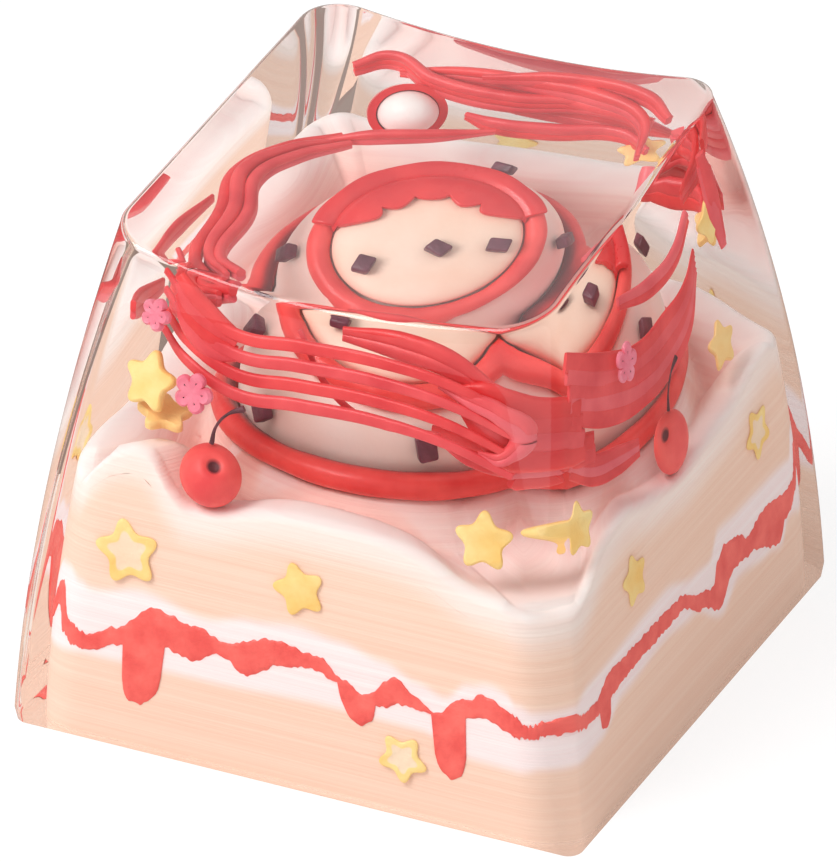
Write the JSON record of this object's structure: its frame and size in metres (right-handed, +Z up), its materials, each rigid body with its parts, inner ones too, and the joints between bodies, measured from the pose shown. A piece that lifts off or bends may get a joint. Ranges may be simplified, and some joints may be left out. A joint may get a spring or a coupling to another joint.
{
  "type": "resin keyboard keycap",
  "caption": "Tall clear resin keycap with a layered cake, a cream bun, fruit ribbons and trimmings cast inside, pressed onto a key switch by a cross socket.",
  "frame": {"origin": "middle of the square base, on the plane that the bottom rim stands on", "axes": "+Z up, out of the switch; -Y is the front, which faces the typist; +X is the typist's right"},
  "size_m": [0.0182, 0.0183, 0.017],
  "materials": {
    "clear_resin": "polished",
    "sponge": "matte",
    "cream": "satin",
    "jam": "gloss",
    "bun_cream": "satin",
    "glaze": "gloss",
    "meringue": "matte",
    "biscuit": "satin",
    "flower": "satin",
    "chocolate": "gloss",
    "fruit_ribbon": "gloss",
    "stalk": "matte",
    "cherry": "gloss"
  },
  "bodies": {
    "root": {"clear_casting": "clear_resin", "sponge": "sponge", "cream_filling": "cream", "jam_line": "jam", "cream_topping": "cream", "bun": "bun_cream", "cream_disc": "bun_cream", "disc_jam_ring": "jam", "foot_jam_ring": "jam", "disc_glaze": "glaze", "meringue_ball": "meringue", "ball_glaze": "glaze", "side_star_1": "biscuit", "side_star_2": "biscuit", "side_star_3": "biscuit", "side_star_4": "biscuit", "side_star_5": "biscuit", "side_star_6": "biscuit", "side_star_7": "biscuit", "star_biscuit_1": "biscuit", "star_biscuit_2": "biscuit", "star_biscuit_3": "biscuit", "star_biscuit_4": "biscuit", "star_biscuit_5": "biscuit", "star_biscuit_6": "biscuit", "star_biscuit_7": "biscuit", "flower_1": "flower", "flower_2": "flower", "flower_3": "flower", "chocolate_chip_1": "chocolate", "chocolate_chip_2": "chocolate", "chocolate_chip_3": "chocolate", "chocolate_chip_4": "chocolate", "chocolate_chip_5": "chocolate", "chocolate_chip_6": "chocolate", "chocolate_chip_7": "chocolate", "chocolate_chip_8": "chocolate", "ribbon_left": "fruit_ribbon", "ribbon_back": "fruit_ribbon", "ribbon_right": "fruit_ribbon", "ribbon_curl": "fruit_ribbon", "ribbon_left_tail": "fruit_ribbon", "ribbon_strand_1": "fruit_ribbon", "ribbon_strand_2": "fruit_ribbon", "ribbon_strand_3": "fruit_ribbon", "ribbon_strand_4": "fruit_ribbon", "cherry_left": "cherry", "cherry_right": "cherry", "cherry_left_stalk": "stalk", "cherry_right_stalk": "stalk"}
  },
  "joints": []
}
